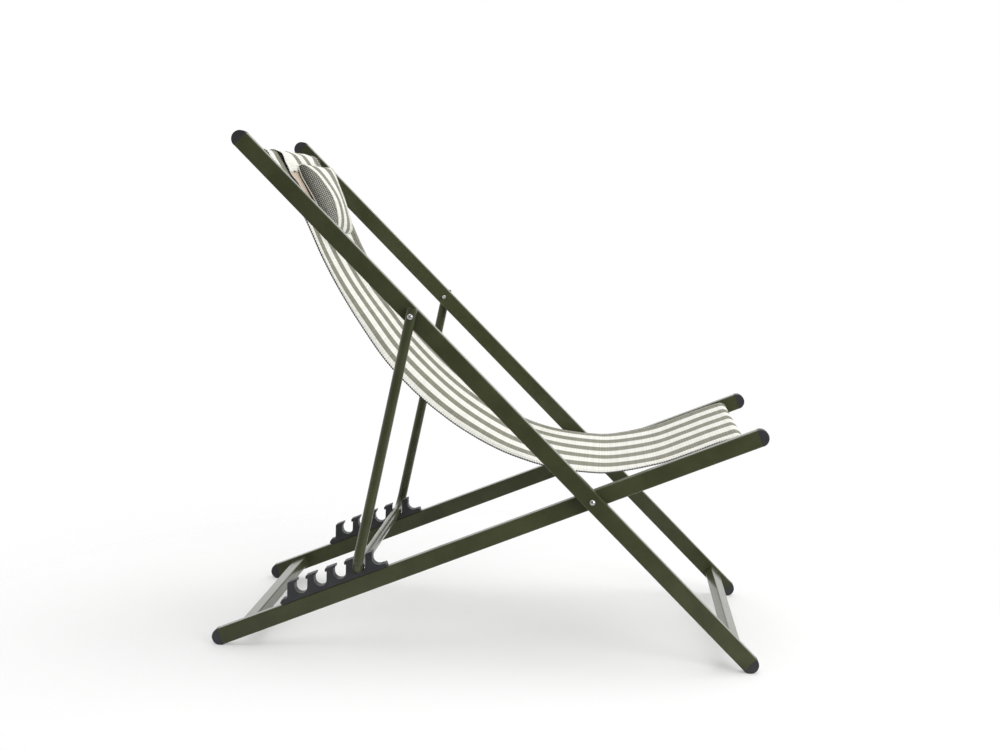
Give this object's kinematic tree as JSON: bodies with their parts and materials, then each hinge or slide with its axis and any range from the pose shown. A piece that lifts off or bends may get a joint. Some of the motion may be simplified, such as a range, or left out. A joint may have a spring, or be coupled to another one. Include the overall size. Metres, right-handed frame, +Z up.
{
  "type": "reclining sun lounger",
  "caption": "Folding deck chair with crossed tube frames, a hanging striped sling, a flip-over headrest pillow and a U-shaped prop that drops into notched racks to set the recline.",
  "frame": {"origin": "on the floor, at the bottom centre of the bounding box", "axes": "+X towards the sitter's feet, +Y to the sitter's left, +Z up"},
  "size_m": [0.963, 0.607, 0.904],
  "materials": {
    "frame_paint": "satin dark olive powder coat",
    "dark_plastic": "moulded anthracite plastic",
    "bolt_steel": "polished stainless",
    "nylon": "natural nylon",
    "sling_fabric": "woven outdoor cloth with olive-grey stripes",
    "pillow_fabric": "padded pillow with striped cloth front and dark mesh ends"
  },
  "bodies": {
    "seat_frame": {"seat_rear_stretcher": "frame_paint", "seat_front_tube": "frame_paint", "sling_seat": "sling_fabric", "sling_middle": "sling_fabric", "seat_rail_left": "frame_paint", "seat_rear_foot_left": "dark_plastic", "seat_front_cap_left": "dark_plastic", "notch_rack_left": "dark_plastic", "rack_screw_rear_left": "bolt_steel", "rack_screw_front_left": "bolt_steel", "pivot_left_bolt": "bolt_steel", "pivot_left_spacer": "nylon", "pivot_left_nut": "bolt_steel", "seat_rail_right": "frame_paint", "seat_rear_foot_right": "dark_plastic", "seat_front_cap_right": "dark_plastic", "notch_rack_right": "dark_plastic", "rack_screw_rear_right": "bolt_steel", "rack_screw_front_right": "bolt_steel", "pivot_right_bolt": "bolt_steel", "pivot_right_spacer": "nylon", "pivot_right_nut": "bolt_steel"},
    "back_frame": {"foot_stretcher": "frame_paint", "head_tube": "frame_paint", "sling_back": "sling_fabric", "back_rail_left": "frame_paint", "back_foot_left": "dark_plastic", "back_head_cap_left": "dark_plastic", "prop_left_bolt": "bolt_steel", "prop_left_spacer": "nylon", "prop_left_nut": "bolt_steel", "back_rail_right": "frame_paint", "back_foot_right": "dark_plastic", "back_head_cap_right": "dark_plastic", "prop_right_bolt": "bolt_steel", "prop_right_spacer": "nylon", "prop_right_nut": "bolt_steel"},
    "prop_frame": {"prop_frame": "frame_paint"},
    "headrest": {"headrest_strap": "sling_fabric", "headrest_pillow": "pillow_fabric"}
  },
  "joints": [
    {"name": "back_fold", "type": "hinge", "parent": "seat_frame", "child": "back_frame", "pos_m": [0.184, 0, 0.2876], "axis": [0, 1, 0], "range_deg": [0, 105], "deforming": ["sling_middle"]},
    {"name": "prop_swing", "type": "hinge", "parent": "back_frame", "child": "prop_frame", "pos_m": [-0.13513, 0, 0.59773], "axis": [0, 1, 0], "range_deg": [-32, 0]},
    {"name": "headrest_flip", "type": "hinge", "parent": "back_frame", "child": "headrest", "pos_m": [-0.40744, 0, 0.86235], "axis": [0, -1, 0], "range_deg": [0, 150]}
  ],
  "couplings": [
    {"joint": "prop_swing", "follows": "back_fold", "ratio": -0.3}
  ]
}
